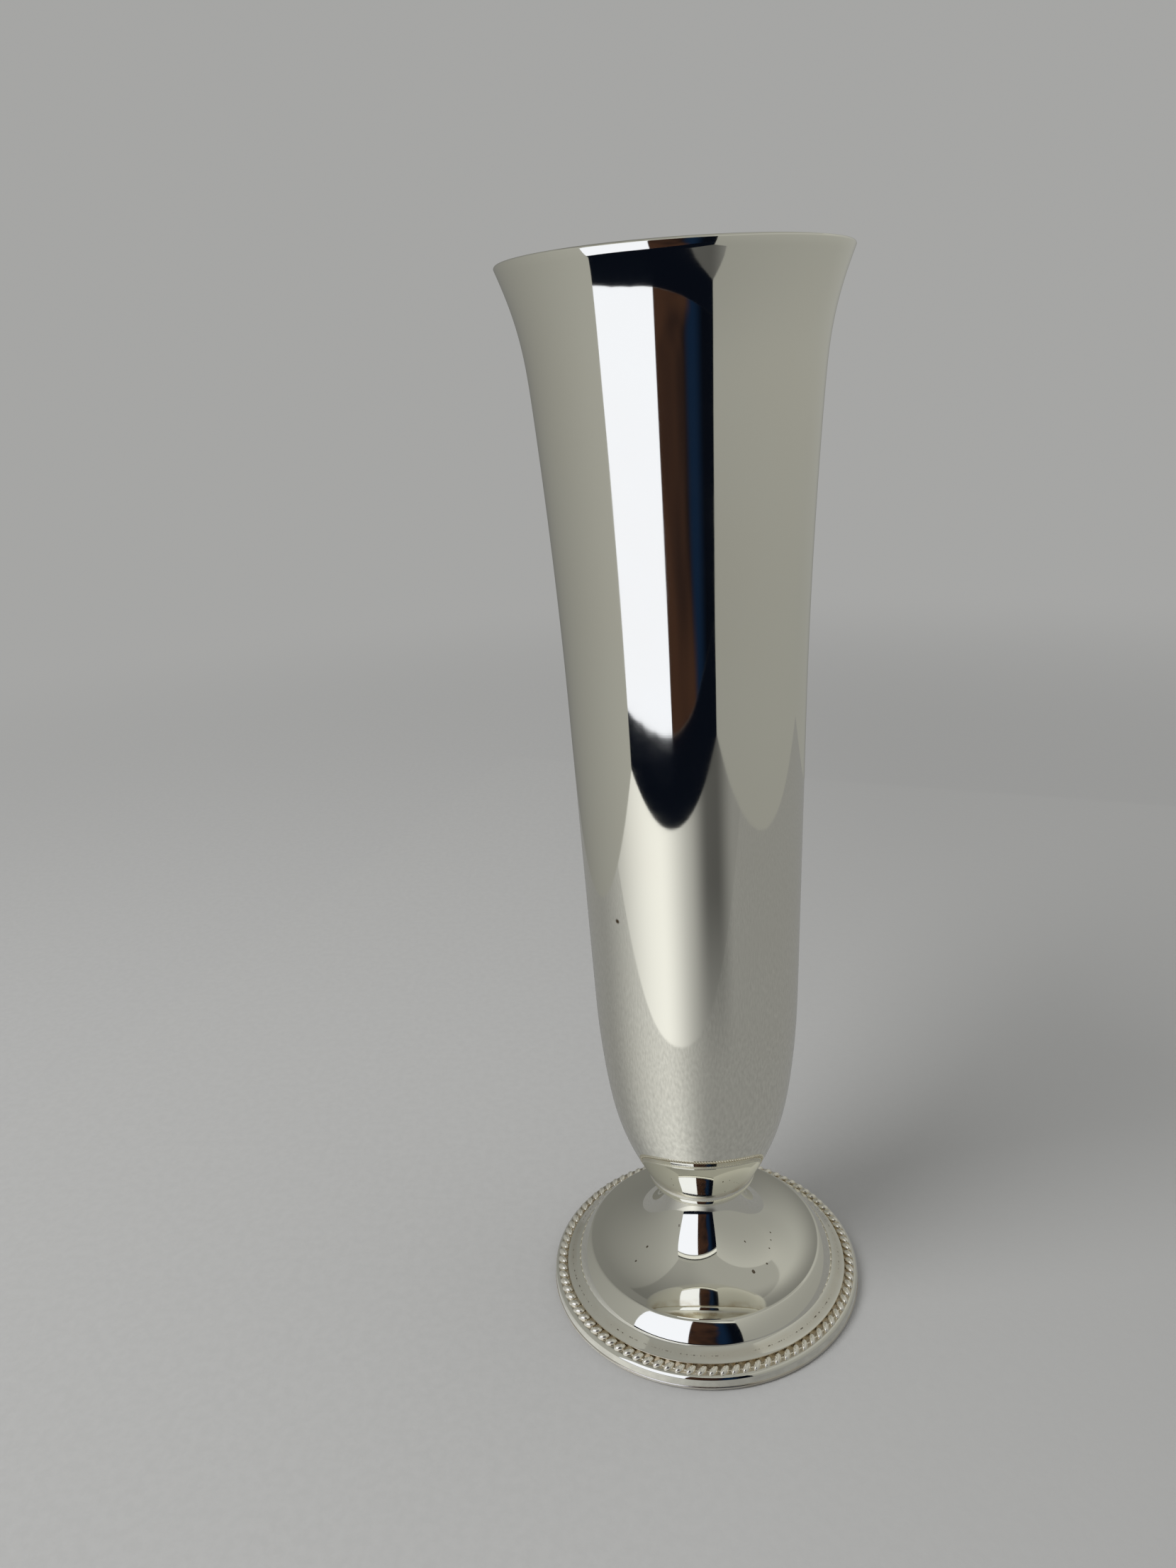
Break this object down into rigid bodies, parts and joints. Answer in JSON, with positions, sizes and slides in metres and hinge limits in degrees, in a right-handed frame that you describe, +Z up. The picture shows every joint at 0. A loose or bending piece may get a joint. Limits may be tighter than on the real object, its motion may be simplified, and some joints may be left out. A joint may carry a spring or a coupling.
{
  "type": "trumpet vase",
  "caption": "Tall trumpet vase in polished silver plate, rounded below and flared at the mouth, on a weighted domed foot with a beaded border and a baize pad.",
  "frame": {"origin": "centre of the underside of the baize pad, on the surface the vase stands on", "axes": "+Z up along the axis of the vase, towards the mouth; X and Y lie in the standing surface"},
  "size_m": [0.0742, 0.0742, 0.229],
  "materials": {
    "body_silver": "polished",
    "foot_silver": "polished",
    "bead_silver": "polished",
    "base_silver": "satin",
    "baize": "matte",
    "pitch": "matte",
    "fixing_steel": "satin"
  },
  "bodies": {
    "root": {"trumpet_body": "body_silver", "body_floor": "body_silver", "collar_ring": "foot_silver", "pedestal_foot": "foot_silver", "bead_wire": "bead_silver", "base_plate": "base_silver", "baize_pad": "baize", "foot_filling": "pitch", "stem_stud": "fixing_steel", "stud_washer": "fixing_steel", "stud_nut": "fixing_steel"}
  },
  "joints": []
}
